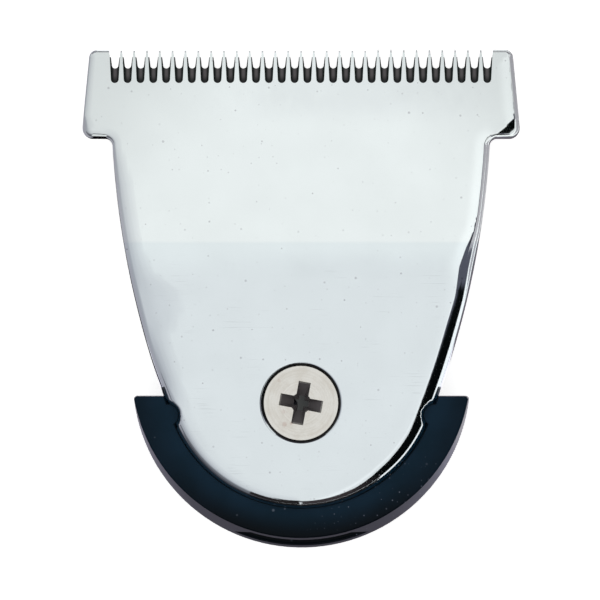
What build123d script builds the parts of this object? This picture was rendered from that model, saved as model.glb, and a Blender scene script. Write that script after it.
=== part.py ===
from build123d import *
import os
from math import acos, cos, hypot, radians, sin, sqrt, tan

# Clip-on hair clipper blade set, lying on its back with the comb face up. Millimetres.
# X runs along the cutting edge, Y from the tail to the tooth tips, Z from the rest plane to the front.

# Comb edge of the fixed blade
tooth_pitch = 1.08
gap_count = 30
gap_depth = 2.80
gap_root_radius = 0.33
gap_mouth_width = 0.86
tooth_tip_width = 0.10
tooth_tip_length = 0.5
end_tooth_width = 1.58

# Outline of the fixed blade, measured from the screw axis and from the tooth tips
blade_reach = 29.7
bar_depth = 7.5
bar_flare = 0.70
bar_tip_radius = 0.68
bar_heel_radius = 0.9
armpit_radius = 0.6
neck_width = 31.78
side_radius = 74.8
tail_radius = 11.6
tail_rise = 2.77
notch_angle = 18.7
notch_depth = 0.71
notch_radius = 0.95

# Fixed blade through its thickness
plate_thickness = 1.5
edge_radius = 1.36
upper_edge_radius = 0.42
notch_edge_radius = 0.3
heel_roll_radius = 2.6
heel_roll_reach = 2.15
heel_roll_turn = 50.0
grind_reach = 16.2
grind_depth = 0.22
grind_ramp = 2.6
taper_length = 7.6
tip_thickness = 0.5
relief_depth = 0.12
relief_length = 2.6
cutting_band = 0.6

# Moving blade
tip_setback = 0.59
cutter_gap_depth = 0.955
cutter_gap_root_radius = 0.28
cutter_gap_mouth_width = 0.70
cutter_tip_width = 0.34
cutter_tip_length = 0.12
cutter_end_width = 0.8
cutter_bar_depth = 6.1
cutter_thickness = 0.9
cutter_corner_radius = 0.5
tongue_margin = 1.3
running_gap = 0.02
cutter_travel = 0.9

# Drive follower on the back of the moving blade
slot_width = 4.4
slot_length = 6.6
follower_wall = 2.7
follower_end_wall = 1.0
follower_depth = 4.6
follower_roof = 0.6
follower_setback = 0.9
follower_corner_radius = 0.8
wing_reach = 4.4
wing_width = 2.0
wing_thickness = 1.9
post_radius = 0.9
fit_gap = 0.02

# Blade base
base_depth = 7.4
nest_depth = 0.3
nest_clearance = 0.08
base_radius = 14.3
base_drop = 12.3
wall_lean = 0.95
ear_rise = 0.57
ear_corner_radius = 0.3
rim_edge_radius = 0.15
flange_depth = 4.4
flange_wall = 1.4
deck_thickness = 1.5
deck_reach = 5.7
frame_inset = 2.2
frame_setback = 1.7
frame_corner_radius = 0.8
frame_chamfer = 0.3
guide_clearance = 0.06
stop_clearance = 0.3
boss_wall = 1.1
bridge_width = 2.4
bridge_thickness = 2.0
tongue_width = 9.8
tongue_root = 2.7
tongue_hook = 1.9
tongue_thickness = 1.4
thumb_groove_depth = 1.4
thumb_groove_height = 2.3
thumb_lip = 1.2
thumb_lip_radius = 0.3
snap_rib_radius = 0.8
snap_rib_height = 0.5
snap_rib_length = 4.0
snap_rib_level = 1.5

# Tension spring
wire_diameter = 0.9
spring_clearance = 0.12
arm_clearance = 0.25
arm_bend_radius = 2.5

# Screw and threaded insert
head_diameter = 6.25
sink_diameter = 6.85
thread_diameter = 3.5
screw_length = 6.4
head_land = 0.05
hole_clearance = 0.2
recess_span = 3.62
recess_width = 1.02
recess_floor_span = 0.7
recess_floor_width = 0.36
recess_depth = 1.5
recess_eye_radius = 0.86
recess_turn = 10.5
insert_diameter = 5.0
insert_length = 4.6

# Levels along Z
plate_rear = base_depth - nest_depth
plate_front = plate_rear + plate_thickness
ground_front = plate_front - grind_depth
cutter_front = plate_rear - running_gap
cutter_rear = cutter_front - cutter_thickness
follower_rear = cutter_rear - follower_depth
wing_rear = cutter_rear - wing_thickness
flange_rear = base_depth - flange_depth
deck_rear = plate_rear - deck_thickness

# Positions along Y, with the middle of the whole length at zero
tip_y = (blade_reach + base_drop) / 2
screw_y = tip_y - blade_reach
heel_y = tip_y - bar_depth
grind_y = tip_y - grind_reach
tail_y = screw_y + tail_rise
cutter_tip_y = tip_y - tip_setback
cutter_heel_y = cutter_tip_y - cutter_bar_depth
follower_length = slot_length + 2 * follower_end_wall
drive_y = cutter_heel_y - follower_setback - follower_length / 2
frame_top_y = cutter_heel_y - frame_setback
deck_top_y = screw_y + deck_reach
base_low_y = screw_y - base_drop
base_rear_y = base_low_y + base_radius
base_front_y = base_rear_y + wall_lean
ear_y = screw_y + ear_rise

# Widths along X, each from the middle
comb_half = gap_count * tooth_pitch / 2
bar_half = comb_half + end_tooth_width
cutter_half = comb_half + cutter_end_width
follower_half = slot_width / 2 + follower_wall
wing_half = follower_half + wing_reach
arm_x = follower_half + cutter_travel + arm_clearance + wire_diameter / 2
window_half = arm_x + wire_diameter / 2 + arm_clearance
boss_radius = insert_diameter / 2 + boss_wall
bend_x = boss_radius + arm_clearance + wire_diameter / 2

# Arc of each side, which runs through the neck corner and into the tail arc without a corner
span = side_radius - tail_radius
chord_x = neck_width / 2
chord_y = heel_y - tail_y
chord = sqrt(chord_x**2 + chord_y**2)
along = (span**2 - side_radius**2 + chord**2) / (2 * chord)
across = sqrt(span**2 - along**2)
side_x = (along * chord_x - across * chord_y) / chord
side_y = tail_y + (along * chord_y + across * chord_x) / chord


def side_half(y, inset=0.0):
    """Half width of the side arcs at one height, with the outline moved in by inset."""
    return side_x + sqrt((side_radius - inset) ** 2 - (y - side_y) ** 2)


def shield(top, inset=0.0):
    """Face of the tapering plate below one height: a straight top, two side arcs and the tail arc."""
    reach = side_radius - inset
    join_x = -side_x / span * reach + side_x
    join_y = (tail_y - side_y) / span * reach + side_y
    mid_y = (top + join_y) / 2
    top_half = side_half(top, inset)
    mid_half = side_half(mid_y, inset)
    low_y = tail_y - tail_radius + inset
    edges = [
        Line((-top_half, top), (top_half, top)),
        ThreePointArc((top_half, top), (mid_half, mid_y), (join_x, join_y)),
        ThreePointArc((join_x, join_y), (0, low_y), (-join_x, join_y)),
        ThreePointArc((-join_x, join_y), (-mid_half, mid_y), (-top_half, top)),
    ]
    return make_face(edges)


def slab(width, low, high, bottom, top):
    """Box centred on X, between two heights in Y and two levels in Z."""
    return Pos(0, (low + high) / 2, (bottom + top) / 2) * Box(width, high - low, top - bottom)


def gap_tools(tip, depth, root, mouth, tip_gap, tip_length, bottom, top):
    """Cutters for one row of hair gaps: a round root, straight flanks and a flared mouth."""
    root_y = tip - depth + root
    edges = [
        Polyline(
            (-root, root_y),
            (-mouth / 2, tip - tip_length),
            (-tip_gap / 2, tip),
            (-tip_gap / 2, tip + 1),
            (tip_gap / 2, tip + 1),
            (tip_gap / 2, tip),
            (mouth / 2, tip - tip_length),
            (root, root_y),
        ),
        ThreePointArc((root, root_y), (0, root_y - root), (-root, root_y)),
    ]
    tool = extrude(Pos(0, 0, bottom) * make_face(edges), top - bottom)
    first = -(gap_count - 1) * tooth_pitch / 2
    return [Pos(first + step * tooth_pitch, 0, 0) * tool for step in range(gap_count)]


def round_profile(radius, reach):
    """Section that a round, tangent to a flat face at the origin, takes off within one reach."""
    half_drop = radius - sqrt(radius**2 - reach**2 / 4)
    drop = radius - sqrt(radius**2 - reach**2)
    edges = [
        ThreePointArc((0, 0), (reach / 2, -half_drop), (reach, -drop)),
        Polyline((reach, -drop), (reach, 1), (0, 1), (0, 0)),
    ]
    return make_face(edges)


def roll_tool(x, y, level, turn, radius, reach):
    """Cutter that rolls a flat face off beyond a line through one point, to the right and down."""
    out_x = cos(radians(turn))
    out_y = -sin(radians(turn))
    start = Plane((x, y, level), x_dir=(out_x, out_y, 0), z_dir=(out_y, -out_x, 0))
    return extrude(start * round_profile(radius, reach), blade_reach, both=True)


def notch_places(radius):
    """Centres of the two side notches for a locating nub of the given radius."""
    reach = tail_radius - notch_depth + radius
    x = reach * cos(radians(notch_angle))
    y = tail_y - reach * sin(radians(notch_angle))
    return [(x, y), (-x, y)]


def bent_wire(points, bends, radius):
    """Round wire along straight runs, with a tangent bend of its own radius at each inner point."""
    places = [Vector(*point) for point in points]
    edges = []
    start = places[0]
    for place, after, bend in zip(places[1:-1], places[2:], bends):
        into = (place - start).normalized()
        out = (after - place).normalized()
        half_turn = acos(into.dot(out)) / 2
        setback = bend * tan(half_turn)
        first = place - into * setback
        last = place + out * setback
        middle = place + (out - into).normalized() * (bend / cos(half_turn) - bend)
        edges.append(Line(start, first))
        edges.append(ThreePointArc(first, middle, last))
        start = last
    edges.append(Line(start, places[-1]))
    path = Wire(edges)
    section = Plane(origin=path @ 0, z_dir=path % 0) * Circle(radius)
    return sweep(section, path=path)


def fixed_blade():
    """Comb plate: T-shaped ground upper part, thicker round-edged tail, countersunk screw hole."""
    outer = bar_half + bar_flare
    mid_y = (heel_y + grind_y) / 2
    neck_half = side_half(heel_y)
    low_half = side_half(grind_y)
    mid_half = side_half(mid_y)
    edges = [
        Polyline(
            (neck_half, heel_y),
            (outer, heel_y),
            (bar_half, tip_y),
            (-bar_half, tip_y),
            (-outer, heel_y),
            (-neck_half, heel_y),
        ),
        ThreePointArc((-neck_half, heel_y), (-mid_half, mid_y), (-low_half, grind_y)),
        Line((-low_half, grind_y), (low_half, grind_y)),
        ThreePointArc((low_half, grind_y), (mid_half, mid_y), (neck_half, heel_y)),
    ]
    outline = make_face(edges)
    armpits = [v for v in outline.vertices() if abs(v.Y - heel_y) < 0.001 and abs(v.X) < neck_half + 0.001]
    outline = fillet(armpits, armpit_radius)
    heels = [v for v in outline.vertices() if abs(v.Y - heel_y) < 0.001 and abs(v.X) > outer - 0.001]
    outline = fillet(heels, bar_heel_radius)
    tips = [v for v in outline.vertices() if abs(v.Y - tip_y) < 0.001]
    outline = fillet(tips, bar_tip_radius)
    bar = extrude(Pos(0, 0, plate_rear) * outline, ground_front - plate_rear)

    drop = ground_front - plate_rear - tip_thickness
    taper_radius = (taper_length**2 + drop**2) / (2 * drop)
    start = Plane((0, tip_y - taper_length, ground_front), x_dir=(0, 1, 0), z_dir=(1, 0, 0))
    taper = extrude(start * round_profile(taper_radius, taper_length + 0.5), 2 * outer, both=True)
    bar = bar - taper
    rim = []
    for edge in bar.edges():
        middle = edge @ 0.5
        on_wall = Vertex(middle.X, middle.Y, 0).distance_to(outline.wire()) < 0.001
        upright = abs((edge % 0.5).Z) > 0.99
        if on_wall and not upright and middle.Z > plate_rear + 0.05 and middle.Y > grind_y + 0.001:
            rim.append(edge)
    bar = fillet(rim, upper_edge_radius)
    heel_x = outer - heel_roll_reach * cos(radians(heel_roll_turn))
    roll_y = heel_y + heel_roll_reach * sin(radians(heel_roll_turn))
    above = slab(2 * outer + 2, heel_y - 0.3, tip_y, plate_rear - 1, plate_front + 1)
    roll = roll_tool(heel_x, roll_y, ground_front, heel_roll_turn, heel_roll_radius, heel_roll_reach)
    bar = bar - (roll & above)

    tail = extrude(Pos(0, 0, plate_rear) * shield(grind_y), plate_thickness)
    rim = [e for e in tail.faces().sort_by(Axis.Z)[-1].edges() if e.center().Y < grind_y - 0.001]
    tail = fillet(rim, edge_radius)
    notch = Cylinder(notch_radius, 3 * plate_thickness)
    level = plate_rear + plate_thickness / 2
    places = notch_places(notch_radius)
    tail -= [Pos(x, y, level) * notch for x, y in places]
    rims = [
        e
        for e in tail.edges().filter_by(GeomType.BSPLINE)
        if e.center().Z > plate_rear + 0.1
        and min(hypot(e.center().X - x, e.center().Y - y) for x, y in places) < notch_radius + 0.01
    ]
    tail = fillet(rims, notch_edge_radius)
    ramp = Polyline(
        (grind_y - grind_ramp, plate_front),
        (grind_y, ground_front),
        (grind_y + 1, ground_front),
        (grind_y + 1, plate_front + 1),
        (grind_y - grind_ramp, plate_front + 1),
        close=True,
    )
    tail = tail - extrude(Plane.YZ * make_face(ramp), 2 * outer, both=True)

    relief_top = tip_y - gap_depth - cutting_band
    relief_low = relief_top - relief_length
    relief = slab(2 * outer + 2, relief_low, relief_top, plate_rear - 1, plate_rear + relief_depth)
    blade = bar + tail - relief
    tip_gap = tooth_pitch - tooth_tip_width
    blade -= gap_tools(
        tip_y,
        gap_depth,
        gap_root_radius,
        gap_mouth_width,
        tip_gap,
        tooth_tip_length,
        plate_rear - 1,
        plate_front + 1,
    )
    hole_radius = thread_diameter / 2 + hole_clearance
    sink_radius = sink_diameter / 2
    sink_depth = sink_radius - hole_radius
    sink = Cone(hole_radius, sink_radius, sink_depth)
    blade -= Pos(0, screw_y, plate_front - sink_depth / 2) * sink
    blade -= Pos(0, screw_y, level) * Cylinder(hole_radius, 3 * plate_thickness)
    return blade


def moving_blade():
    """Cutter: toothed bar behind the comb with a tongue that carries the follower."""
    tongue_half = follower_half + tongue_margin
    tongue_end = drive_y - follower_length / 2
    bar = slab(2 * cutter_half, cutter_heel_y, cutter_tip_y, cutter_rear, cutter_front)
    tongue = slab(2 * tongue_half, tongue_end, cutter_heel_y + 1, cutter_rear, cutter_front)
    blade = bar + tongue
    uprights = blade.edges().filter_by(Axis.Z)
    blade = fillet(uprights, cutter_corner_radius)
    blade -= gap_tools(
        cutter_tip_y,
        cutter_gap_depth,
        cutter_gap_root_radius,
        cutter_gap_mouth_width,
        tooth_pitch - cutter_tip_width,
        cutter_tip_length,
        cutter_rear - 1,
        cutter_front + 1,
    )
    hole = Cylinder(post_radius + fit_gap, 3 * cutter_thickness)
    post_x = slot_width / 2 + follower_wall / 2
    blade -= [Pos(x, drive_y, cutter_rear) * hole for x in (-post_x, post_x)]
    return blade


def drive_follower():
    """Moulded driver: block with the eccentric's slot, guide wings and two posts staked in the cutter."""
    half_length = follower_length / 2
    body = slab(2 * follower_half, drive_y - half_length, drive_y + half_length, follower_rear, cutter_rear)
    body = fillet(body.edges().filter_by(Axis.Z), follower_corner_radius)
    slot = slab(
        slot_width,
        drive_y - slot_length / 2,
        drive_y + slot_length / 2,
        follower_rear - 1,
        cutter_rear - follower_roof,
    )
    slot = fillet(slot.edges().filter_by(Axis.Z), slot_width / 4)
    wings = slab(2 * wing_half, drive_y - wing_width / 2, drive_y + wing_width / 2, wing_rear, cutter_rear)
    post_length = cutter_thickness - running_gap
    post_x = slot_width / 2 + follower_wall / 2
    post = Cylinder(post_radius, 2 * post_length)
    posts = [Pos(x, drive_y, cutter_rear) * post for x in (-post_x, post_x)]
    return body + wings + posts - slot


def tension_spring():
    """Hairpin wire round the screw boss, whose two arms press the follower wings towards the front."""
    radius = wire_diameter / 2
    bend_z = deck_rear - spring_clearance - radius
    arm_z = wing_rear - spring_clearance - radius
    rest_z = arm_z - 0.2
    low_y = screw_y - bend_x
    turn_y = screw_y + boss_radius * 0.6
    rest_y = deck_top_y + bridge_width
    end_y = drive_y + wing_width / 2
    half = [
        (arm_x, end_y, arm_z),
        (arm_x, rest_y, rest_z),
        (bend_x, turn_y, bend_z),
        (bend_x, low_y, bend_z),
    ]
    mirrored = [(-x, y, z) for x, y, z in reversed(half)]
    round_bend = bend_x * 0.98
    bends = [arm_bend_radius, arm_bend_radius, round_bend, round_bend, arm_bend_radius, arm_bend_radius]
    return bent_wire(half + mirrored, bends, radius)


def blade_base():
    """Moulded holder: crescent flange round the tail, U frame behind, screw boss and hook tongue."""
    wide = 4 * base_radius
    lean = Vector(0, wall_lean, flange_depth)
    rear_disc = Pos(0, base_rear_y, flange_rear) * Circle(base_radius)
    flange = extrude(rear_disc, lean.length, dir=lean.normalized())
    flange = flange & slab(wide, base_low_y - 1, ear_y, flange_rear, base_depth)
    ear_edges = [e for e in flange.faces().sort_by(Axis.Y)[-1].edges() if abs(e.tangent_at(0.5).Z) > 0.5]
    flange = fillet(ear_edges, ear_corner_radius)
    flange = fillet(flange.faces().sort_by(Axis.Z)[-1].edges(), rim_edge_radius)
    core_y = (base_rear_y + base_front_y) / 2
    core = Pos(0, core_y, (flange_rear - 1 + deck_rear) / 2)
    core = core * Cylinder(base_radius - flange_wall, deck_rear - flange_rear + 1)
    core = core & slab(wide, base_low_y - 1, ear_y - flange_wall, flange_rear - 1, deck_rear)
    flange = flange - core

    groove_low = flange_rear + thumb_lip
    groove_top = groove_low + thumb_groove_height
    groove = slab(wide, base_low_y - 1, base_low_y + thumb_groove_depth, groove_low, groove_top)
    frame = extrude(shield(frame_top_y, frame_inset), plate_rear)
    frame = fillet(frame.edges().filter_by(Axis.Z), frame_corner_radius)
    frame = chamfer(frame.faces().sort_by(Axis.Z)[0].edges(), frame_chamfer)
    tongue_low = tail_y - tail_radius + frame_inset - tongue_root
    tongue = slab(tongue_width, tongue_low, tongue_low + tongue_root + 1, 0, deck_rear)
    hook = slab(tongue_width, tongue_low - tongue_hook, tongue_low + 1, 0, tongue_thickness)
    flange = flange - groove
    lip_edges = [e for e in flange.edges() if abs(e.center().Z - groove_low) < 0.001]
    lip = min(lip_edges, key=lambda e: e.center().Y)
    base = fillet([lip], thumb_lip_radius) + frame + tongue + hook

    window = slab(2 * window_half, screw_y, frame_top_y + 1, -1, deck_rear)
    bend_room = bend_x + wire_diameter / 2 + arm_clearance
    window += Pos(0, screw_y, (deck_rear - 1) / 2) * Cylinder(bend_room, deck_rear + 1)
    window += slab(2 * window_half, deck_top_y, frame_top_y + 1, -1, plate_rear + 1)
    base -= window
    core_top_y = drive_y - wing_width / 2 - flange_wall
    cheek_cores = extrude(Pos(0, 0, -1) * shield(core_top_y, frame_inset + flange_wall), deck_rear + 1)
    cheek_cores &= slab(wide, deck_top_y, core_top_y, -1, deck_rear)
    inner_width = 2 * (window_half + flange_wall)
    base -= cheek_cores - slab(inner_width, deck_top_y - 1, core_top_y + 1, -2, plate_rear)

    boss_length = insert_length + deck_thickness / 2
    base += Pos(0, screw_y, plate_rear - boss_length / 2) * Cylinder(boss_radius, boss_length)
    arm_low = wing_rear - 2 * spring_clearance - wire_diameter - 0.2
    bridge_low = deck_top_y + bridge_width / 2
    base += slab(
        2 * window_half + 1,
        bridge_low,
        bridge_low + bridge_width,
        arm_low - bridge_thickness,
        arm_low,
    )
    rib_y = drive_y - wing_width / 2 - snap_rib_length / 2
    rib_x = side_half(rib_y, frame_inset) + snap_rib_height - snap_rib_radius
    rib = Rotation(90, 0, 0) * Cylinder(snap_rib_radius, snap_rib_length)
    base += [Pos(x, rib_y, snap_rib_level) * rib for x in (-rib_x, rib_x)]

    nubs = [Pos(x, y, 0) * Circle(notch_radius - nest_clearance) for x, y in notch_places(notch_radius)]
    nest = shield(heel_y, -nest_clearance) - nubs
    base -= extrude(Pos(0, 0, plate_rear) * nest, nest_depth + 1)
    guide_half = wing_half + cutter_travel + stop_clearance
    guide_width = wing_width + 2 * guide_clearance
    base -= slab(
        2 * guide_half,
        drive_y - guide_width / 2,
        drive_y + guide_width / 2,
        wing_rear - stop_clearance,
        plate_rear + 1,
    )
    insert_top = plate_rear - deck_thickness / 2
    insert_seat = Cylinder(insert_diameter / 2 + fit_gap, insert_length)
    base -= Pos(0, screw_y, insert_top - insert_length / 2) * insert_seat
    base -= Pos(0, screw_y, plate_rear) * Cylinder(thread_diameter / 2 + hole_clearance, 2 * deck_thickness)
    return base


def screw_insert():
    """Brass bush seated in the boss from behind, with the tapped hole for the screw."""
    top = plate_rear - deck_thickness / 2
    bush = Pos(0, screw_y, top - insert_length / 2) * Cylinder(insert_diameter / 2, insert_length)
    bush = chamfer(bush.edges().filter_by(GeomType.CIRCLE), insert_diameter / 20)
    return bush - Pos(0, screw_y, top) * Cylinder(thread_diameter / 2 + fit_gap, 3 * insert_length)


def fixing_screw():
    """Countersunk screw with a tapering cross recess, turned a little from square."""
    head = head_diameter / 2
    shank = thread_diameter / 2
    sink = sink_diameter / 2
    top = plate_front - sink + head + head_land + fit_gap * sqrt(2)
    cone_low = top - head_land - head + shank
    tip = top - screw_length
    outline = Polyline(
        (0, top),
        (head, top),
        (head, top - head_land),
        (shank, cone_low),
        (shank, tip + shank / 4),
        (shank * 0.75, tip),
        (0, tip),
        close=True,
    )
    screw = revolve(Plane.XZ * make_face(outline), Axis.Z)
    floor = Pos(0, 0, top - recess_depth) * Rectangle(recess_floor_span, recess_floor_width)
    wing = loft([Pos(0, 0, top) * Rectangle(recess_span, recess_width), floor])
    eye_depth = recess_depth + recess_eye_radius / 2
    eye = Pos(0, 0, top - eye_depth / 2) * Cone(0, recess_eye_radius, eye_depth)
    recess = wing + Rotation(0, 0, 90) * wing + eye
    screw = screw - Rotation(0, 0, -recess_turn) * recess
    return Pos(0, screw_y, 0) * screw


os.makedirs("parts", exist_ok=True)
export_step(fixed_blade(), "parts/fixed_blade.step")
export_step(moving_blade(), "parts/moving_blade.step")
export_step(drive_follower(), "parts/drive_follower.step")
export_step(tension_spring(), "parts/tension_spring.step")
export_step(blade_base(), "parts/blade_base.step")
export_step(screw_insert(), "parts/screw_insert.step")
export_step(fixing_screw(), "parts/fixing_screw.step")
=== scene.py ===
import math

import bpy
import numpy as np
from mathutils import Matrix, Vector
from mathutils.geometry import delaunay_2d_cdt


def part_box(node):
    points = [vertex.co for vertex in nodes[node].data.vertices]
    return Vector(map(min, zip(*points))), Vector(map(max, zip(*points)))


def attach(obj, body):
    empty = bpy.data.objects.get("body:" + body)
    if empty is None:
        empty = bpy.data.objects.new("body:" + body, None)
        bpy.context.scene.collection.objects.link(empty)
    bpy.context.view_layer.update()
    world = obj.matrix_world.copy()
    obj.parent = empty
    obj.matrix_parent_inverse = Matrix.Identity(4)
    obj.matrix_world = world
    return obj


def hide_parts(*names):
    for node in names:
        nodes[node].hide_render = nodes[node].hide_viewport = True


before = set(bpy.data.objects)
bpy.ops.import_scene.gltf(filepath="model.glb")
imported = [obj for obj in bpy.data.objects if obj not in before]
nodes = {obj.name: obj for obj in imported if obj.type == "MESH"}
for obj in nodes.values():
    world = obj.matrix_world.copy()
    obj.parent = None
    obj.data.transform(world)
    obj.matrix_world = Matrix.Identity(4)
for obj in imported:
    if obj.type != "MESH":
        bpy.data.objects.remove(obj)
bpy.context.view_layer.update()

# Clip-on hair clipper blade set on its back: looks, light and camera. Metres, in the CAD frame.
scene = bpy.context.scene
MM = 0.001


def linear(code):
    """Linear colour of an sRGB hex code, as a shader reads it."""
    parts = [int(code[i : i + 2], 16) / 255 for i in (1, 3, 5)]
    return [c / 12.92 if c <= 0.04045 else ((c + 0.055) / 1.055) ** 2.4 for c in parts] + [1.0]


def add(tree, kind, inputs=None, **settings):
    """Adds a shader node, with its settings, and sets or links each named or numbered input."""
    node = tree.nodes.new(kind)
    for key, value in settings.items():
        setattr(node, key, value)
    for key, value in (inputs or {}).items():
        if isinstance(value, bpy.types.NodeSocket):
            tree.links.new(value, node.inputs[key])
        else:
            node.inputs[key].default_value = value
    return node


def new_material(name):
    """Empty node material with an output; gives the material, its tree and the output."""
    material = bpy.data.materials.new(name)
    material.use_nodes = True
    tree = material.node_tree
    tree.nodes.clear()
    return material, tree, add(tree, "ShaderNodeOutputMaterial")


def dress(node_name, material):
    """Gives a CAD node one material."""
    mesh = nodes[node_name].data
    mesh.materials.clear()
    mesh.materials.append(material)


def step(tree, value, start, end):
    """Smooth step from zero at start to one at end, which may lie below it."""
    node = add(
        tree,
        "ShaderNodeMapRange",
        {"Value": value, "From Min": start, "From Max": end},
        interpolation_type="SMOOTHSTEP",
    )
    return node.outputs[0]


def math_of(tree, operation, first, second=0.0, third=0.0):
    """Result of one arithmetic operation on numbers or sockets."""
    return add(tree, "ShaderNodeMath", {0: first, 1: second, 2: third}, operation=operation).outputs[0]


def blend(tree, share, first, second, mode="MIX"):
    """Colour mixed from two colours or sockets by a share."""
    node = add(
        tree,
        "ShaderNodeMix",
        {0: share, 6: first, 7: second},
        data_type="RGBA",
        blend_type=mode,
    )
    return node.outputs[2]


def specks(tree, place, cell, radius, few):
    """Small round spots, at most one to a square cell, of random size; few cells are left out."""
    cells = add(
        tree,
        "ShaderNodeTexVoronoi",
        {"Vector": place, "Scale": 1 / cell, "Randomness": 1.0},
        voronoi_dimensions="2D",
        feature="F1",
    )
    luck = add(tree, "ShaderNodeSeparateColor", {0: cells.outputs["Color"]})
    size = math_of(tree, "MULTIPLY_ADD", luck.outputs[0], radius / cell, 0.5 * radius / cell)
    share = math_of(tree, "DIVIDE", cells.outputs["Distance"], size)
    spot = step(tree, share, 1.2, 0.5)
    depth = step(tree, luck.outputs[1], few, 1.0)
    return math_of(tree, "MULTIPLY", spot, depth)


screw_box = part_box("fixing_screw")
screw_x = (screw_box[0][0] + screw_box[1][0]) / 2
screw_y = (screw_box[0][1] + screw_box[1][1]) / 2
screw_top = screw_box[1][2]
plate_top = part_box("fixed_blade")[1][2]


def from_axis(tree, parts, center_x, center_y):
    """Distance from an upright axis."""
    x = math_of(tree, "SUBTRACT", parts.outputs["X"], center_x)
    y = math_of(tree, "SUBTRACT", parts.outputs["Y"], center_y)
    flat = add(tree, "ShaderNodeCombineXYZ", {"X": x, "Y": y})
    return add(tree, "ShaderNodeVectorMath", {0: flat.outputs[0]}, operation="LENGTH").outputs["Value"]


# Comb plate with the soft worn edges of the real one, in place of the plain solid. Millimetres.
blade_low, blade_high = [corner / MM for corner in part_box("fixed_blade")]
tip_y = blade_high.y
plate_rear = blade_low.z
plate_front = blade_high.z
tail_radius = 11.6
tail_y = blade_low.y + tail_radius
side_radius = 74.8
neck_half = 15.89
heel_y = tip_y - 7.5
bar_half = 17.78
bar_outer = 18.48
armpit_radius = 0.6
heel_radius = 0.9
tip_radius = 0.68
notch_angle = 18.7
notch_radius = 0.95
notch_reach = tail_radius - 0.71 + notch_radius
notch_x = notch_reach * math.cos(math.radians(notch_angle))
notch_y = tail_y - notch_reach * math.sin(math.radians(notch_angle))
grind_y = tip_y - 16.2
grind_ramp = 4.0
grind_depth = 0.22
taper_y = tip_y - 7.6
taper_radius = 37.4
hole_y = screw_y / MM
hole_radius = 1.95
sink_radius = 3.425
sink_ease = 0.06
gap_count = 30
gap_pitch = 1.08
gap_depth = 2.80
gap_root = 0.33
gap_waist = 0.43
gap_mouth = 0.49
gap_flare = 0.5

# Worn edge. Columns: reach of the round, its fullness, where 2 is a circle and 1 a bevel, then the
# reach and the end slope of the soft roll before it. The sides start with the height of the row.
right_sides = np.array(
    [
        (-17.6, 0.95, 2.0, 1.1, 0.04),
        (-16.8, 1.15, 2.0, 1.1, 0.04),
        (-15.0, 1.40, 2.0, 1.1, 0.04),
        (-9.0, 1.38, 2.0, 1.1, 0.04),
        (-2.5, 1.30, 2.0, 1.1, 0.04),
        (0.0, 1.18, 2.0, 1.1, 0.04),
        (2.5, 1.32, 1.9, 1.1, 0.07),
        (4.2, 1.0, 1.7, 1.1, 0.11),
        (5.6, 0.6, 1.4, 1.1, 0.11),
        (7.0, 0.48, 1.3, 1.1, 0.11),
    ]
)
left_sides = np.array(
    [
        (-17.6, 1.0, 2.0, 0.8, 0.05),
        (-15.0, 1.1, 2.0, 0.8, 0.05),
        (-10.0, 1.2, 2.0, 0.8, 0.06),
        (-6.8, 0.6, 2.0, 1.35, 0.62),
        (-5.0, 0.5, 2.0, 1.45, 0.60),
        (-3.4, 0.5, 2.0, 1.8, 0.50),
        (-1.7, 0.6, 2.0, 3.4, 0.34),
        (0.0, 0.6, 2.0, 3.4, 0.34),
        (2.0, 0.5, 2.0, 1.6, 0.50),
        (4.0, 0.45, 2.0, 1.2, 0.55),
        (9.5, 0.4, 2.0, 1.1, 0.50),
        (11.3, 0.34, 2.0, 0.8, 0.45),
        (13.0, 0.3, 2.0, 0.45, 0.30),
    ]
)
right_heel = np.array((0.45, 1.5, 1.1, 0.11))
right_end = np.array((0.36, 1.3, 1.1, 0.11))
left_heel = np.array((0.75, 2.0, 0.5, 0.05))
left_end = np.array((0.12, 2.0, 0.42, 0.50))
tips = np.array((0.3, 2.0, 0.4, 0.03))
notch_wear = 0.3
bevel_place = np.array((16.05, 13.72))
bevel_way = np.array((0.634, -0.773))
bevel_slope = 0.36
bevel_radius = 5.0
bevel_ease = 0.14
bevel_margin = 0.5
steepest = 200
thinnest = 0.05

# Places of the face's mesh: angles of the rings on the round, distances of those past it, circles at the
# countersink, the grid between, and a finer one under the bevelled heel
round_angles = (82, 72, 62, 52, 42, 32, 22, 14, 8, 3, 0)
roll_rings = (0.1, 0.3, 0.55, 0.85, 1.2, 1.7)
sink_rings = (2.4, 2.9, 3.34, 3.39, 3.44, 3.5, 3.6)
grid_columns = np.arange(-18.0, 18.1, 0.6)
grid_rows = np.arange(tail_y - tail_radius, tip_y - 3.2, 0.45)
grid_margin = 2.0
ring_slack = 0.03
sink_margin = 0.3
notch_margin = 0.35
comb_margin = 0.25
fine_step = 0.08
fine_columns = np.arange(15.7, 18.5, fine_step)
fine_rows = np.arange(13.65, 16.2, fine_step)
fine_right = 18.0
fine_low = 13.9
fine_margin = 0.2
same_edge = 0.8
probe = 0.005


def arc(center, radius, start, end, count):
    """Points at equal steps between two angles, in degrees, on a circle."""
    angle = np.radians(np.linspace(start, end, count))
    return np.stack([center[0] + radius * np.cos(angle), center[1] + radius * np.sin(angle)], 1)


def run(first, last, count):
    """Points at equal steps on a straight line."""
    share = np.linspace(0, 1, count)[:, None]
    return np.array(first) * (1 - share) + np.array(last) * share


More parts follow.
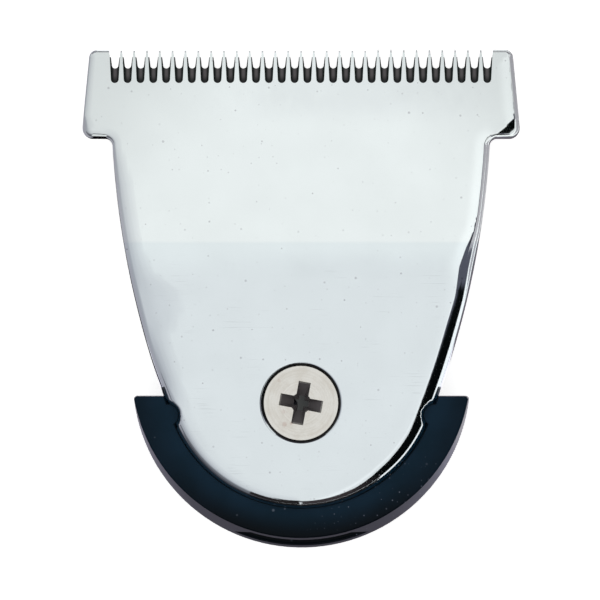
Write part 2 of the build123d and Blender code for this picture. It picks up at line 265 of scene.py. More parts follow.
def half_outline(sides, heel_wear, end_wear):
    """Right half of the outline from the tail's low point to the end tooth: tail arc, side arc, armpit,
    heel, bar end and tip, each running into the next. Columns: place, then the four of the wear."""
    span = side_radius - tail_radius
    rise = heel_y - tail_y
    chord = math.hypot(neck_half, rise)
    along = (span**2 - side_radius**2 + chord**2) / (2 * chord)
    across = math.sqrt(span**2 - along**2)
    side_x = (along * neck_half - across * rise) / chord
    side_y = tail_y + (along * rise + across * neck_half) / chord
    join = math.degrees(math.atan2(tail_y - side_y, -side_x))
    pit_y = heel_y - armpit_radius
    pit_x = side_x + math.sqrt((side_radius + armpit_radius) ** 2 - (pit_y - side_y) ** 2)
    pit = math.degrees(math.atan2(pit_y - side_y, pit_x - side_x))
    lean = math.atan2(bar_outer - bar_half, tip_y - heel_y)
    tilt = math.degrees(lean)
    heel_x = bar_outer - heel_radius * (1 + math.sin(lean)) / math.cos(lean)
    corner_y = tip_y - tip_radius
    corner_x = bar_outer - (tip_radius + (corner_y - heel_y) * math.sin(lean)) / math.cos(lean)

    tail = arc((0, tail_y), tail_radius, -90, join, 91)
    side = arc((side_x, side_y), side_radius, join, pit, 111)
    armpit = arc((pit_x, pit_y), armpit_radius, 180 + pit, 90, 11)
    under = run((pit_x, heel_y), (heel_x, heel_y), 11)
    heel = arc((heel_x, heel_y + heel_radius), heel_radius, -90, tilt, 15)
    corner = arc((corner_x, corner_y), tip_radius, tilt, 90, 13)
    end = run(heel[-1], corner[0], 31)
    top = run(corner[-1], (gap_pitch * (gap_count - 1) / 2 + gap_mouth, tip_y), 9)
    low = np.concatenate([tail[:-1], side[:-1]])
    low_wear = np.stack([np.interp(low[:, 1], sides[:, 0], column) for column in sides[:, 1:].T], 1)
    rest = np.concatenate([armpit[:-1], under[:-1]])
    up = np.interp(end[:-1, 1], [heel_y + 0.8, heel_y + 2.0], [0, 1])[:, None]
    path = [low, rest, heel[:-1], end[:-1], corner[:-1], top[:-1]]
    wear = [
        low_wear,
        run(sides[-1, 1:], heel_wear, len(rest)),
        run(heel_wear, heel_wear, len(heel) - 1),
        heel_wear * (1 - up) + end_wear * up,
        run(end_wear, tips, len(corner) - 1),
        run(tips, tips, len(top) - 1),
    ]
    return np.concatenate([np.concatenate(path), np.concatenate(wear)], 1)


def notched(outline):
    """The half outline with the notch circle's inner arc instead of the stretch inside that circle."""
    inside = np.hypot(outline[:, 0] - notch_x, outline[:, 1] - notch_y) < notch_radius
    first, last = np.flatnonzero(inside)[[0, -1]]
    share = (notch_reach**2 + notch_radius**2 - tail_radius**2) / (2 * notch_reach * notch_radius)
    half = math.degrees(math.acos(share))
    inward = 180 - notch_angle
    cut = arc((notch_x, notch_y), notch_radius, inward + half, inward - half, 21)
    return np.concatenate([outline[:first], cut, outline[last + 1 :]])


def gap_row():
    """Outlines of all hair gaps, from right to left: flared mouth, straight flanks and a round root."""
    root_y = tip_y - gap_depth + gap_root
    waist_y = tip_y - gap_flare
    mouth = run((gap_mouth, tip_y), (gap_waist, waist_y), 7)[:-1]
    flank = run((gap_waist, waist_y), (gap_root, root_y), 9)[:-1]
    root = arc((0, root_y), gap_root, 0, -180, 15)
    right = np.concatenate([mouth, flank])
    left = right[::-1] * [-1, 1]
    gap = np.concatenate([right, root, left])
    centers = (np.arange(gap_count)[::-1] - (gap_count - 1) / 2) * gap_pitch
    row = gap[None] + np.stack([centers, np.zeros(gap_count)], 1)[:, None]
    return row.reshape(-1, 2)


def mirrored(half):
    """A right half drawn upward, as a left half drawn downward without the shared low point."""
    left = half[:0:-1].copy()
    left[:, 0] *= -1
    return left


half = half_outline(right_sides, right_heel, right_end)
rim_rows = np.concatenate([half, mirrored(half_outline(left_sides, left_heel, left_end))])
rim = rim_rows[:, :2]
rim_run = np.roll(rim, -1, 0) - rim
rim_length = np.hypot(rim_run[:, 0], rim_run[:, 1])
rim_in = np.stack([-rim_run[:, 1], rim_run[:, 0]], 1) / rim_length[:, None]


def from_rim(places):
    """Distance of each place from the rim, the way from it, and the wear there."""
    rows = []
    for some in np.array_split(places, max(1, len(places) // 1500)):
        apart = some[:, None] - rim[None]
        share = np.clip((apart * rim_run).sum(2) / rim_length**2, 0, 1)
        away = apart - share[..., None] * rim_run
        nearest = (away**2).sum(2).argmin(1)
        row = np.arange(len(some))
        rest = away[row, nearest]
        gap = np.hypot(rest[:, 0], rest[:, 1])
        way = np.where((gap < 1e-4)[:, None], rim_in[nearest], rest / np.maximum(gap, 1e-9)[:, None])
        here = share[row, nearest][:, None]
        wear = rim_rows[nearest, 2:] * (1 - here) + np.roll(rim_rows, -1, 0)[nearest, 2:] * here
        rows.append((gap, way, wear))
    return [np.concatenate(column) for column in zip(*rows)]


def rounded(gap, reach, fullness=2.0):
    """Drop and slope of an edge worn to a quarter of a superellipse, at a distance from the edge."""
    out = np.clip(1 - gap / reach, 1e-9, 1 - 1e-5)
    rest = 1 - out**fullness
    return reach * (1 - rest ** (1 / fullness)), out ** (fullness - 1) * rest ** (1 / fullness - 1)


def face_level(x, y):
    """Level of the face without its worn edges: ground flat, soft ramp to the tail, taper to the tips,
    the countersink and the rims of the notches."""
    share = np.clip((grind_y - y) / grind_ramp, 0, 1)
    level = plate_front - grind_depth * (1 - share**2 * (3 - 2 * share))
    past = np.maximum(y - taper_y, 0)
    level = level - taper_radius + np.sqrt(taper_radius**2 - past**2)
    inside = sink_radius - np.hypot(x, y - hole_y)
    eased = np.clip(inside + sink_ease, 0, None) ** 2 / (4 * sink_ease)
    level = level - np.where(inside > sink_ease, inside, eased)
    from_notch = np.hypot(np.abs(x) - notch_x, y - notch_y) - notch_radius
    return level - rounded(np.maximum(from_notch, 0), notch_wear)[0]


def slopes(shape, x, y):
    """Slopes of a surface along X and Y, by differences over a hundredth of a millimetre."""
    step_x = (shape(x + probe, y) - shape(x - probe, y)) / (2 * probe)
    step_y = (shape(x, y + probe) - shape(x, y - probe)) / (2 * probe)
    return np.stack([step_x, step_y], 1)


def heel_bevel(places):
    """Drop and slope of the bevel worn across the right heel: none up to a slanting line, eased into a
    plane, and rolling on a little towards the corner."""
    past = np.clip((places - bevel_place) @ bevel_way, 0, None)
    early = np.minimum(past, bevel_ease)
    slope = bevel_slope * early / bevel_ease + past / bevel_radius
    drop = bevel_slope * (early**2 / (2 * bevel_ease) + past - early) + past**2 / (2 * bevel_radius)
    here = (places[:, 0] > bevel_place[0] - bevel_margin) & (places[:, 1] > heel_y - bevel_margin)
    return np.where(here, drop, 0), np.where(here, slope, 0)


def worn_face(places):
    """Level and normal of the finished face: face level less the soft roll, the round along the rim and
    the heel's bevel."""
    x, y = places.T
    gap, way, wear = from_rim(places)
    reach, fullness, roll, tilt = wear.T
    drop, steep = rounded(gap, reach, fullness)
    inside = np.clip(reach + roll - gap, 0, None)
    bevel, fall = heel_bevel(places)
    level = face_level(x, y) - drop - bevel - tilt * inside**2 / (2 * roll)
    steep = np.minimum(steep, steepest) + tilt * inside / roll
    slope = slopes(face_level, x, y) + way * steep[:, None] - bevel_way * fall[:, None]
    normal = np.concatenate([-slope, np.ones((len(places), 1))], 1)
    normal /= np.linalg.norm(normal, axis=1)[:, None]
    return np.maximum(level, plate_rear + thinnest), normal


def crossings(columns, rows):
    """Places where columns and rows cross."""
    return np.stack(np.meshgrid(columns, rows), -1).reshape(-1, 2)


def rim_rings():
    """Places on lines inside the rim, closer together towards the edge, where the round is steep."""
    turn = rim_in + np.roll(rim_in, 1, 0)
    turn /= np.linalg.norm(turn, axis=1)[:, None]
    shares = 1 - np.sin(np.radians(round_angles))
    past = np.array(roll_rings)
    depth = np.concatenate([shares[:, None] * rim_rows[:, 2], past[:, None] + rim_rows[:, 2]])
    rings = (rim + depth[..., None] * turn).reshape(-1, 2)
    return rings[from_rim(rings)[0] > depth.reshape(-1) - ring_slack]


def heel_places():
    """Fine grid under the heel's bevel, inside the rim."""
    fine = crossings(fine_columns, fine_rows)
    gap, way, _ = from_rim(fine)
    right = (fine[:, 0] > fine_right) & (way[:, 0] > 0)
    below = (fine[:, 1] < fine_low) & (way[:, 1] < 0)
    bevelled = (fine - bevel_place) @ bevel_way > -fine_margin
    return fine[(gap > fine_step) & ~right & ~below & bevelled]


def middle_places():
    """Coarse grid on the flat middle of the face."""
    grid = crossings(grid_columns, grid_rows)
    gap, _, wear = from_rim(grid)
    upward = np.argsort(half[:, 1])
    inside = np.abs(grid[:, 0]) < np.interp(grid[:, 1], half[upward, 1], half[upward, 0])
    return grid[inside & (gap > wear[:, 0] + grid_margin)]


def plate_places():
    """Boundary loop, hole loop and inner places of the face: rings along the rim, circles round the
    countersink, and grids between."""
    edge = notched(half[:, :2])
    loop = np.concatenate([edge, gap_row(), mirrored(edge)])
    hole = arc((0, hole_y), hole_radius, 0, -360, 73)[:-1]
    circles = np.concatenate([arc((0, hole_y), radius, 0, 360, 97)[:-1] for radius in sink_rings])
    places = np.concatenate([rim_rings(), heel_places(), middle_places()])
    near_hole = np.hypot(places[:, 0], places[:, 1] - hole_y) < sink_radius + sink_margin
    places = np.concatenate([places[~near_hole], circles])
    from_notch = np.hypot(np.abs(places[:, 0]) - notch_x, places[:, 1] - notch_y)
    high = places[:, 1] > tip_y - gap_depth - comb_margin
    comb = high & (np.abs(places[:, 0]) < gap_pitch * gap_count / 2)
    return loop, hole, places[(from_notch > notch_radius + notch_margin) & ~comb]


def comb_plate():
    """Closed plate: triangles over the face, the same on the flat back, and walls between their borders.
    Normals on the face are those of its formula, and on the walls those of the smoothed rim."""
    loop, hole, inner = plate_places()
    flat = np.concatenate([loop, hole, inner])
    n, m = len(loop), len(hole)
    borders = [(i, (i + 1) % n) for i in range(n)] + [(n + i, n + (i + 1) % m) for i in range(m)]
    result = delaunay_2d_cdt([Vector(place) for place in flat], borders, [], 2, 1e-6)
    places = np.array([place[:] for place in result[0]])
    faces = np.array(result[2])
    used, faces = np.unique(faces, return_inverse=True)
    faces = faces.reshape(-1, 3)
    places = places[used]
    a, b, c = [places[faces[:, k]] for k in range(3)]
    turned = (b[:, 0] - a[:, 0]) * (c[:, 1] - a[:, 1]) < (b[:, 1] - a[:, 1]) * (c[:, 0] - a[:, 0])
    faces[turned] = faces[turned][:, ::-1]
    count = len(places)
    level, normal = worn_face(places)
    ways = np.concatenate([faces[:, [0, 1]], faces[:, [1, 2]], faces[:, [2, 0]]])
    border = ways[~np.isin(ways[:, 0] * count + ways[:, 1], ways[:, 1] * count + ways[:, 0])]
    start, end = border.T
    walls = np.stack([start, start + count, end + count, end], 1)
    run_on = places[end] - places[start]
    out = np.stack([run_on[:, 1], -run_on[:, 0], np.zeros(len(border))], 1)
    out /= np.linalg.norm(out, axis=1)[:, None]
    mean = np.zeros((count, 3))
    np.add.at(mean, start, out)
    np.add.at(mean, end, out)
    mean /= np.maximum(np.linalg.norm(mean, axis=1), 1e-9)[:, None]
    corners = np.stack([mean[start], mean[start], mean[end], mean[end]], 1)
    soft = (corners * out[:, None]).sum(2) > same_edge
    corners = np.where(soft[..., None], corners, out[:, None])
    top = np.concatenate([places, level[:, None]], 1)
    back = np.concatenate([places, np.full((count, 1), plate_rear)], 1)
    mesh = bpy.data.meshes.new("comb_plate")
    points = np.concatenate([top, back]) * MM
    behind = faces[:, ::-1] + count
    mesh.from_pydata(points.tolist(), [], faces.tolist() + behind.tolist() + walls.tolist())
    mesh.shade_smooth()
    down = np.tile([0.0, 0.0, -1.0], (3 * len(faces), 1))
    normals = np.concatenate([normal[faces].reshape(-1, 3), down, corners.reshape(-1, 3)])
    mesh.normals_split_custom_set(normals.tolist())
    plate = bpy.data.objects.new("comb_plate", mesh)
    scene.collection.objects.link(plate)
    return plate


# Hardened blade steel, ground bright on the upper face and tumbled below: a pale mirror with a soft
# blur, a few dark pits and faint grinding lines along the edge
def blade_steel():
    material, tree, output = new_material("ground_blade_steel")
    place = add(tree, "ShaderNodeTexCoord").outputs["Object"]
    parts = add(tree, "ShaderNodeSeparateXYZ", {0: place})
    along = parts.outputs["Y"]
    below = step(tree, along, grind_y * MM, (grind_y - grind_ramp) * MM)
    edge = step(tree, along, (grind_y + 0.2) * MM, (grind_y - 0.15) * MM)
    color = blend(tree, edge, linear("#e8efef"), linear("#e0e9eb"))
    color = blend(tree, below, color, linear("#dae2e5"))

    # Painted shade, darker towards the bar's corners
    aside = math_of(tree, "ABSOLUTE", math_of(tree, "SUBTRACT", parts.outputs["X"], 0.8 * MM))
    corner = math_of(tree, "MULTIPLY_ADD", along, 0.8, aside)
    painted_corner_shade = math_of(tree, "MULTIPLY_ADD", step(tree, corner, 19.0 * MM, 33.0 * MM), -0.18, 1.0)
    color = blend(tree, 1.0, color, painted_corner_shade, "MULTIPLY")

    # Faint clouds
    cloud = add(tree, "ShaderNodeTexNoise", {"Vector": place, "Scale": 1 / (4.5 * MM), "Detail": 4.0})
    shade = add(
        tree,
        "ShaderNodeMapRange",
        {"Value": cloud.outputs[0], "From Min": 0.3, "From Max": 0.7, "To Min": 0.975, "To Max": 1.015},
    )
    color = blend(tree, 1.0, color, shade.outputs[0], "MULTIPLY")

    # Pits, some of them only just seen
    pits = specks(tree, place, cell=2.3 * MM, radius=0.08 * MM, few=0.1)
    color = blend(tree, math_of(tree, "MULTIPLY", pits, 0.42), color, linear("#7d7c84"))
    dots = specks(tree, place, cell=1.1 * MM, radius=0.05 * MM, few=0.3)
    color = blend(tree, math_of(tree, "MULTIPLY", dots, 0.22), color, linear("#86868e"))

    # Grinding lines in patches, drawn coarser than the real ones so that they show
    stretched = add(tree, "ShaderNodeMapping", {"Vector": place, "Scale": (0.045, 1.0, 1.0)})
    lines = add(
        tree,
        "ShaderNodeTexNoise",
        {"Vector": stretched.outputs[0], "Scale": 1 / (0.16 * MM), "Detail": 1.0},
        noise_dimensions="2D",
    )
    patches = add(tree, "ShaderNodeTexNoise", {"Vector": place, "Scale": 1 / (3.0 * MM), "Detail": 2.0})
    scored = math_of(tree, "MULTIPLY", step(tree, lines.outputs[0], 0.62, 0.74), below)
    scored = math_of(tree, "MULTIPLY", scored, step(tree, patches.outputs[0], 0.5, 0.7))
    color = blend(tree, math_of(tree, "MULTIPLY", scored, 0.12), color, linear("#8d929a"))

    # Painted shade in the countersink round the screw
    radius = from_axis(tree, parts, screw_x + 0.07 * MM, screw_y)
    deep = step(tree, parts.outputs["Z"], plate_top - 0.02 * MM, plate_top - 0.10 * MM)
    painted_sink_shade = math_of(tree, "MULTIPLY", step(tree, radius, 3.42 * MM, 3.36 * MM), deep)
    color = blend(tree, math_of(tree, "MULTIPLY", painted_sink_shade, 0.95), color, linear("#1c1b18"))

    # Dust on the right of the tail's edge
    near = step(tree, from_axis(tree, parts, 6.0 * MM, -16.0 * MM), 5.0 * MM, 1.0 * MM)
    outer = step(tree, from_axis(tree, parts, 0.0, tail_y * MM), 10.6 * MM, 10.9 * MM)
    near = math_of(tree, "MULTIPLY", near, outer)
    dust = specks(tree, place, cell=0.42 * MM, radius=0.05 * MM, few=0.3)
    dust = math_of(tree, "MULTIPLY", dust, near)
    color = blend(tree, dust, color, linear("#8d8794"))

    # Soft blur and slight waves of the ground surface
    blur = add(
        tree,
        "ShaderNodeMapRange",
        {"Value": cloud.outputs[0], "From Min": 0.3, "From Max": 0.7, "To Min": 0.075, "To Max": 0.105},
    )
    wave = add(tree, "ShaderNodeTexNoise", {"Vector": place, "Scale": 1 / (2.4 * MM), "Detail": 2.0})
    bump = add(
        tree,
        "ShaderNodeBump",
        {"Height": wave.outputs[0], "Strength": 1.0, "Distance": 0.012 * MM},
    )
    shader = add(
        tree,
        "ShaderNodeBsdfPrincipled",
        {
            "Base Color": color,
            "Roughness": blur.outputs[0],
            "Metallic": math_of(tree, "SUBTRACT", 1.0, dust),
            "Normal": bump.outputs[0],
        },
    )
    tree.links.new(shader.outputs[0], output.inputs["Surface"])
    return material


# Hardened cutter steel, dark, with painted shade at the sides and roots of the comb's gaps
def cutter_steel():
    material, tree, output = new_material("dark_cutter_steel")
    place = add(tree, "ShaderNodeTexCoord").outputs["Object"]
    parts = add(tree, "ShaderNodeSeparateXYZ", {0: place})
    # Painted shade at the sides of each gap, lighter down its middle
    count = math_of(tree, "DIVIDE", parts.outputs["X"], gap_pitch * MM)
    aside = math_of(tree, "PINGPONG", math_of(tree, "SUBTRACT", count, 0.5), 0.5)
    color = blend(tree, step(tree, aside, 0.04, 0.24), linear("#575455"), linear("#191e1d"))
    # Painted shade towards the root of each gap
    root_y = tip_y - gap_depth
    root = step(tree, parts.outputs["Y"], (root_y + 0.75) * MM, (root_y + 0.15) * MM)
    color = blend(tree, math_of(tree, "MULTIPLY", root, 0.8), color, linear("#191e1d"))
    shader = add(
        tree,
        "ShaderNodeBsdfPrincipled",
        {"Base Color": color, "Roughness": 0.35, "Metallic": 1.0},
    )
    tree.links.new(shader.outputs[0], output.inputs["Surface"])
    return material


# Nickel plate over a turned head: warm and bright, with faint rings and painted shade in the recess
def screw_nickel():
    material, tree, output = new_material("nickel_plate")
    place = add(tree, "ShaderNodeTexCoord").outputs["Object"]
    parts = add(tree, "ShaderNodeSeparateXYZ", {0: place})
    radius = from_axis(tree, parts, screw_x, screw_y)
    rings = add(
        tree,
        "ShaderNodeTexNoise",
        {"W": radius, "Scale": 1 / (0.22 * MM), "Detail": 2.0},
        noise_dimensions="1D",
    )
    cloud = add(tree, "ShaderNodeTexNoise", {"Vector": place, "Scale": 1 / (1.3 * MM), "Detail": 3.0})
    half = math_of(tree, "MULTIPLY", cloud.outputs[0], 0.65)
    mixed = math_of(tree, "MULTIPLY_ADD", rings.outputs[0], 0.35, half)
    tone = step(tree, mixed, 0.38, 0.62)
    color = blend(tree, tone, linear("#cfccc4"), linear("#d9d8d2"))
    stains = specks(tree, place, cell=1.3 * MM, radius=0.16 * MM, few=0.45)
    color = blend(tree, math_of(tree, "MULTIPLY", stains, 0.3), color, linear("#a57f74"))
    # Painted shade in the recess, which is also made rougher and not metallic
    deep = step(tree, parts.outputs["Z"], screw_top - 0.03 * MM, screw_top - 0.16 * MM)
    inside = math_of(tree, "MULTIPLY", deep, step(tree, radius, 2.0 * MM, 1.9 * MM))
    color = blend(tree, inside, color, linear("#5a5657"))
    blur = math_of(tree, "MULTIPLY_ADD", inside, 0.25, 0.24)
    bare = math_of(tree, "SUBTRACT", 1.0, inside)
    shader = add(
        tree,
        "ShaderNodeBsdfPrincipled",
        {"Base Color": color, "Roughness": blur, "Metallic": bare},
    )
    tree.links.new(shader.outputs[0], output.inputs["Surface"])
    return material


# Glass-filled plastic moulded in blue-black: dark and smooth, with painted rim shade and a few pale nicks
def base_plastic():
    material, tree, output = new_material("moulded_plastic")
    place = add(tree, "ShaderNodeTexCoord").outputs["Object"]
    cloud = add(tree, "ShaderNodeTexNoise", {"Vector": place, "Scale": 1 / (3.5 * MM), "Detail": 3.0})
    tone = step(tree, cloud.outputs[0], 0.35, 0.65)
    color = blend(tree, tone, linear("#082434"), linear("#0e293b"))
    parts = add(tree, "ShaderNodeSeparateXYZ", {0: place})
    # Painted shade: darker towards the outer rim round the tail, more so at the bottom
    radius = from_axis(tree, parts, 0.0, tail_y * MM)
    outward = step(tree, radius, 11.8 * MM, 14.2 * MM)
    low = step(tree, parts.outputs["Y"], -13.0 * MM, -19.5 * MM)
    painted_rim_shade = math_of(tree, "MULTIPLY", outward, math_of(tree, "MULTIPLY_ADD", low, 0.5, 0.4))
    color = blend(tree, painted_rim_shade, color, linear("#000306"))
    nicks = specks(tree, place, cell=2.2 * MM, radius=0.09 * MM, few=0.55)
    color = blend(tree, math_of(tree, "MULTIPLY", nicks, 0.5), color, linear("#737c8c"))
    near = step(tree, from_axis(tree, parts, 6.5 * MM, -17.0 * MM), 7.5 * MM, 1.5 * MM)
    flecks = specks(tree, place, cell=0.6 * MM, radius=0.05 * MM, few=0.35)
    flecks = math_of(tree, "MULTIPLY", flecks, near)
    color = blend(tree, math_of(tree, "MULTIPLY", flecks, 0.6), color, linear("#7f8799"))
    shader = add(
        tree,
        "ShaderNodeBsdfPrincipled",
        {"Base Color": color, "Roughness": 0.3, "Specular IOR Level": 0.06},
    )
    tree.links.new(shader.outputs[0], output.inputs["Surface"])
    return material


def plain(name, color, roughness, metallic=0.0):
    """Material of one colour all over."""
    material, tree, output = new_material(name)
    shader = add(
        tree,
        "ShaderNodeBsdfPrincipled",
        {"Base Color": linear(color), "Roughness": roughness, "Metallic": metallic},
    )
    tree.links.new(shader.outputs[0], output.inputs["Surface"])
    return material


steel = blade_steel()
dress("fixed_blade", steel)
plate = comb_plate()
plate.data.materials.append(steel)
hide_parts("fixed_blade")
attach(plate, "holder")
dress("moving_blade", cutter_steel())
dress("fixing_screw", screw_nickel())
dress("blade_base", base_plastic())
# Natural acetal, milk white and waxy
dress("drive_follower", plain("natural_acetal", "#e6e3d8", 0.45))
# Drawn stainless spring wire
dress("tension_spring", plain("spring_wire", "#b4b4b4", 0.25, 1.0))
# Turned brass
dress("screw_insert", plain("turned_brass", "#c9a45c", 0.3, 1.0))


# White studio: a table and a backdrop that camera and mirror rays see as white, and cards that only
# mirrors see
def seen_directly(tree):
    """One for camera, glossy and transmission rays, otherwise zero."""
    path = add(tree, "ShaderNodeLightPath")
    sharp = math_of(tree, "MAXIMUM", path.outputs["Is Camera Ray"], path.outputs["Is Glossy Ray"])
    return math_of(tree, "MAXIMUM", sharp, path.outputs["Is Transmission Ray"])


def floor_material():
    """White paper that keeps shadows, lifted to white where it is seen directly."""
    material, tree, output = new_material("white_table")
    lift = math_of(tree, "MULTIPLY", seen_directly(tree), 0.75)
    glow = add(tree, "ShaderNodeEmission", {"Color": linear("#ffffff"), "Strength": lift})
    paper = add(tree, "ShaderNodeBsdfDiffuse", {"Color": linear("#f2f2f2")})
    both = add(tree, "ShaderNodeAddShader", {0: glow.outputs[0], 1: paper.outputs[0]})
    tree.links.new(both.outputs[0], output.inputs["Surface"])
    return material


def stage_panel(name, corners, material, faces=None):
    """Stage panel with the given corners, in one flat face unless faces are given."""
    mesh = bpy.data.meshes.new(name)
    mesh.from_pydata(corners, [], faces or [tuple(range(len(corners)))])
    mesh.materials.append(material)
    panel = bpy.data.objects.new(name, mesh)
    scene.collection.objects.link(panel)
    return panel


def mirror_card(name, corners, shades, way=(0.0, 0.0, 1.0), glow=1.0, faces=None):
    """Studio card that only mirrors see, shaded through colours at places along one way."""
    material, tree, output = new_material(name + "_board")
    place = add(tree, "ShaderNodeTexCoord").outputs["Object"]
    dot = add(tree, "ShaderNodeVectorMath", {0: place, 1: way}, operation="DOT_PRODUCT")
    along = dot.outputs["Value"]
    tone = linear(shades[0][1])
    for (start, _), (end, color) in zip(shades, shades[1:]):
        tone = blend(tree, step(tree, along, start, end), tone, linear(color))
    light = add(tree, "ShaderNodeEmission", {"Color": tone, "Strength": glow})
    tree.links.new(light.outputs[0], output.inputs["Surface"])
    card = stage_panel(name, corners, material, faces)
    card.visible_camera = False
    card.visible_diffuse = False
    card.visible_shadow = False
    return card


def flat(places, z):
    """Corners of a level card over places in the plane."""
    return [(x, y, z) for x, y in places]


def level(x_low, x_high, y_low, y_high, z):
    """Corners of a level oblong."""
    return flat([(x_low, y_low), (x_high, y_low), (x_high, y_high), (x_low, y_high)], z)


def upright(first, last, high):
    """Corners of a wall on the table between two places."""
    return [(*first, 0.0), (*last, 0.0), (*last, high), (*first, high)]


def fence(name, path, high, shades, way=(0.0, 0.0, 1.0)):
    """Low upright card along a path near the object, from just under the face's edge."""
    n = len(path)
    corners = flat(path, fence_low) + flat(path, high)
    faces = [(i, i + 1, n + i + 1, n + i) for i in range(n - 1)]
    return mirror_card(name, corners, shades, way, 1.0, faces)


# Places of the cards round the object, which stands at the origin
table_reach = 4.0
table_z = -0.05 * MM
layer = 0.1 * MM
ceiling = 0.6
left_ceiling = 0.605
back_ceiling = 0.62
right_x = 1.5
left_x = -3.0
front_y = -1.0
back_y = 1.2
flag_x = 1.02
flag_back = 0.25
flag_front = -0.24
right_back = 0.9
fence_low = 8.3 * MM
right_fence_high = 14.8 * MM
left_fence_high = 13.2 * MM
fence_gap = 8.0
right_fence_top = 4.6
left_fence_top = -16.6
along_x = (1.0, 0.0, 0.0)
along_y = (0.0, 1.0, 0.0)
stage_panel(
    "table",
    level(-table_reach, table_reach, -table_reach, table_reach, table_z),
    floor_material(),
)


def right_cards():
    """Dark cards that the worn right edge mirrors as a slate and a black band, and pale ones beyond."""
    inner = [(0.18, flag_back), (0.18, -0.05), (0.306, -0.19), (0.32, -0.38), (0.33, -0.65), (0.33, -1.0)]
    outer = [(0.6, -0.85), (0.85, -0.6), (flag_x, flag_front)]
    slate = [(-0.05, "#5c5c68"), (-0.11, "#060909")]
    mirror_card("right_flag", flat([(flag_x, flag_back)] + inner + outer, ceiling), slate, along_y)
    strip = [(0.02, "#f0f0f0"), (0.12, "#ffffff")]
    mirror_card("right_strip", level(0.02, 0.18, -1.0, 1.0, 0.61), strip, along_x, 1.14)
    pale = [(0.0, "#bdb8be")]
    beyond = [(flag_x, flag_back), (flag_x, flag_front), (right_x, flag_front), (right_x, flag_back)]
    mirror_card("right_ceiling", flat(beyond, ceiling), pale)
    mirror_card("right_wall", upright((right_x, flag_front), (right_x, right_back), ceiling), pale)
    mirror_card("right_floor", level(0.03, right_x, -0.004, right_back, 2 * layer), pale)
    apron = [
        (0.006, -0.012),
        (0.023, -0.011),
        (0.026, 0.004),
        (0.028, 0.0135),
        (0.029, 0.030),
        (0.006, 0.030),
    ]
    mirror_card("right_apron", flat(apron, 3 * layer), [(0.0, "#767078")])


def near_cards():
    """Dark cards in front, and low ones close round the tail for the steep part of its edge."""
    mirror_card("front_flag", level(-0.18, 0.33, -1.1, -0.76, ceiling), [(0.0, "#0a0a0a")])
    around = rim - fence_gap * rim_in
    right = around[: len(half)][half[:, 1] < right_fence_top] * MM
    dark = [(0.0005, "#5c5c68"), (-0.0012, "#060909"), (-0.021, "#060909"), (-0.026, "#463f41")]
    fence("right_fence", right, right_fence_high, dark, along_y)
    left = around[len(half) :][rim[len(half) :, 1] < left_fence_top] * MM
    fence("left_fence", left, left_fence_high, [(0.0, "#2a2627")])
    runway = [(-0.019, -0.027), (-0.1, -0.5), (0.36, -0.5), (0.014, -0.027)]
    mirror_card("front_floor", flat(runway, 3 * layer), [(0.0, "#1c1818")])


def left_cards():
    """Grey cards that fade outwards, for the soft roll of the left edge."""
    fading = [
        (-0.012, "#ffffff"),
        (-0.1, "#f6f6f7"),
        (-0.25, "#efeff1"),
        (-0.5, "#e3e3e6"),
        (-0.8, "#d4d4d9"),
        (-1.3, "#bfbfc5"),
        (-3.0, "#b7b7be"),
    ]
    lid = level(left_x, -0.012, front_y, back_y, left_ceiling)
    mirror_card("left_card", lid, fading, (1.0, 0.3, 0.0))
    side = upright((left_x, front_y), (left_x, back_y), left_ceiling)
    mirror_card("left_wall", side, [(0.0, "#b7b7be")])
    corner = upright((left_x, front_y), (-0.2, front_y), left_ceiling)
    mirror_card("front_left_wall", corner, [(0.6, "#b4b4ba"), (0.25, "#76767c")])
    grey = [(0.005, "#b6b3bc"), (-0.015, "#55545c")]
    mirror_card("left_floor", level(left_x, -0.019, front_y, 0.5, 2 * layer), grey, (-0.55, 1.0, 0.0))
    heel = [
        (-0.0205, 0.0125),
        (-0.0145, 0.0125),
        (-0.0145, -0.006),
        (-0.0168, -0.009),
        (-0.0168, -0.03),
        (-0.0205, -0.03),
    ]
    mirror_card("heel_floor", flat(heel, 5 * layer), [(0.0, "#000000")])


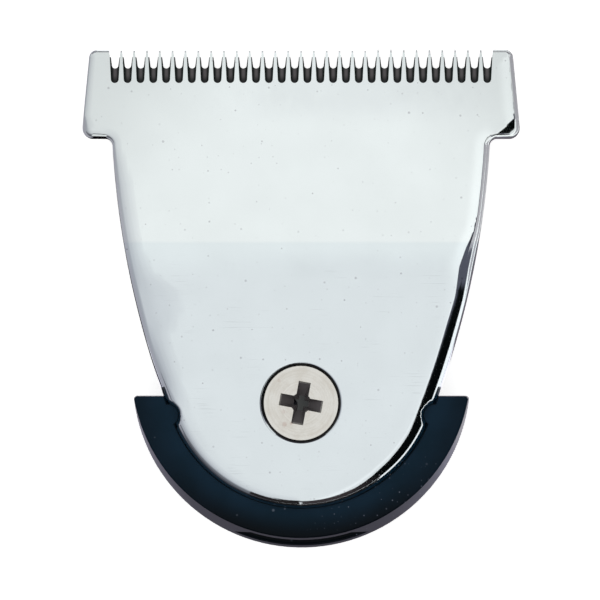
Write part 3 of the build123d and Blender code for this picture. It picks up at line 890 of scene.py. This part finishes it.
def base_and_back_cards():
    """Half disc under the base, which its leaning wall mirrors, and the back of the studio."""
    dusk = [
        (-0.020, "#8d8a99"),
        (-0.017, "#a39fb0"),
        (-0.015, "#b5b1c3"),
        (-0.013, "#cfcbdf"),
        (-0.0096, "#fbf6ff"),
    ]
    disc = arc((0, tail_y), 22.5, 180, 360, 37) * MM
    mirror_card("base_floor", flat(disc, 4 * layer), dusk, (0.1, 1.0, 0.0), 1.3)
    mirror_card("back_wall", upright((-1.0, back_y), (1.0, back_y), 0.55), [(0.0, "#77737a")])
    pale = [(0.05, "#ffffff"), (0.15, "#f6f6f7")]
    mirror_card("back_card", level(-1.0, 1.0, 0.05, back_y, back_ceiling), pale, along_y)


right_cards()
near_cards()
left_cards()
base_and_back_cards()


def softbox(name, place, size, radiance):
    """Square studio lamp over the table, with the given radiance, that mirrors and camera don't see."""
    lamp = bpy.data.lights.new(name, "AREA")
    lamp.shape = "SQUARE"
    lamp.size = size
    lamp.energy = radiance * math.pi * size * size
    holder = bpy.data.objects.new(name, lamp)
    holder.location = place
    holder.visible_camera = False
    holder.visible_glossy = False
    scene.collection.objects.link(holder)
    return holder


softbox("overhead_softbox", (0.0, 0.05, 0.55), 1.0, 1.0)


def studio_world():
    """World that gives little light and is seen as white."""
    world = bpy.data.worlds.new("studio")
    world.use_nodes = True
    tree = world.node_tree
    tree.nodes.clear()
    output = add(tree, "ShaderNodeOutputWorld")
    dim = add(tree, "ShaderNodeBackground", {"Color": linear("#ffffff"), "Strength": 0.1})
    white = add(tree, "ShaderNodeBackground", {"Color": linear("#ffffff"), "Strength": 1.0})
    share = seen_directly(tree)
    mixed = add(tree, "ShaderNodeMixShader", {0: share, 1: dim.outputs[0], 2: white.outputs[0]})
    tree.links.new(mixed.outputs[0], output.inputs["Surface"])
    return world


scene.world = studio_world()

# Camera, nearly square to the plate
image_width = 600
pixel_size = 0.084 * MM
camera_lean = math.radians(0.5)
camera_data = bpy.data.cameras.new("camera")
camera_data.lens = 500
camera_data.clip_start = 0.01
camera = bpy.data.objects.new("camera", camera_data)
scene.collection.objects.link(camera)
target = Vector((-0.08, -0.04, 8.5)) * MM
distance = image_width * pixel_size * camera_data.lens / camera_data.sensor_width
away = Vector((math.tan(camera_lean), 0.0, 1.0)).normalized()
right = Vector((0.0, 1.0, 0.0)).cross(away).normalized()
up = away.cross(right)
turn = Matrix((right, up, away)).transposed().to_4x4()
camera.matrix_world = Matrix.Translation(target + away * distance) @ turn
scene.camera = camera

scene.view_settings.view_transform = "Standard"
